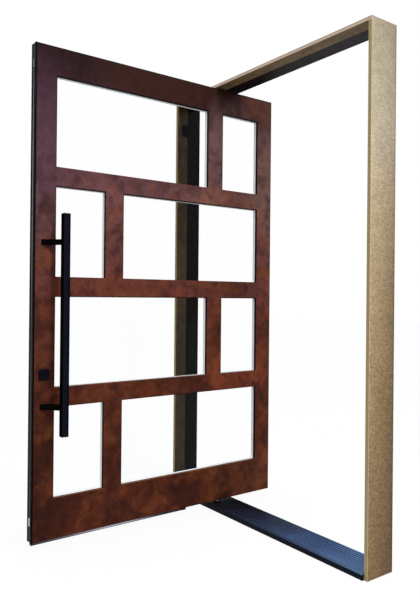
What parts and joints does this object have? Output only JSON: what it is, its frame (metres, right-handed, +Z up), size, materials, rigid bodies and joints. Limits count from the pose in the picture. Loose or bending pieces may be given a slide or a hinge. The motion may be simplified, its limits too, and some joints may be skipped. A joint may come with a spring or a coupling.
{
  "type": "pivot entry door",
  "caption": "Tall pivot entry door: staggered glazed lights in a patinated metal leaf, long square pull, slim two-tone frame and ribbed threshold, shown open.",
  "frame": {"origin": "centre of the opening's width on the threshold's bottom face, in line with the pivot in depth", "axes": "+X towards the lock jamb, +Y towards the rear of the frame, +Z up; the leaf stands open at a right angle"},
  "size_m": [1.786, 1.72, 2.826],
  "materials": {
    "champagne": "satin",
    "dark_anodised": "satin",
    "sill_metal": "satin",
    "nose_black": "satin",
    "steel": "satin",
    "black_coat": "satin",
    "patina": "satin",
    "clear_glass": "gloss",
    "mill_strip": "satin",
    "rubber": "matte"
  },
  "bodies": {
    "frame": {"jamb_lock": "champagne", "jamb_lock_liner": "dark_anodised", "jamb_heel": "champagne", "jamb_heel_liner": "dark_anodised", "head": "champagne", "head_liner": "dark_anodised", "threshold": "sill_metal", "threshold_nose": "nose_black", "pivot_plate_lower": "steel", "pivot_spindle_lower": "steel", "pivot_spindle_upper": "steel", "jamb_plate": "black_coat"},
    "leaf": {"lock_stile": "patina", "heel_stile": "patina", "top_rail": "patina", "rail_upper": "patina", "rail_middle": "patina", "rail_lower": "patina", "bottom_rail": "patina", "mullion_1": "patina", "mullion_2": "patina", "mullion_3": "patina", "mullion_4": "patina", "glass_1": "clear_glass", "glass_2": "clear_glass", "glass_3": "clear_glass", "glass_4": "clear_glass", "glass_5": "clear_glass", "glass_6": "clear_glass", "glass_7": "clear_glass", "glass_8": "clear_glass", "edge_channel": "black_coat", "edge_strip": "mill_strip", "edge_plate_upper": "steel", "edge_plate_lower": "steel", "bottom_sweep": "rubber", "sweep_block": "rubber", "pull_bar": "black_coat", "pull_post_upper": "black_coat", "pull_post_lower": "black_coat", "lock_rosette": "black_coat"}
  },
  "joints": [
    {"name": "leaf_pivot", "type": "hinge", "parent": "frame", "child": "leaf", "pos_m": [-0.43, 0, 0.055], "axis": [0, 0, 1], "range_deg": [0, 90]}
  ]
}
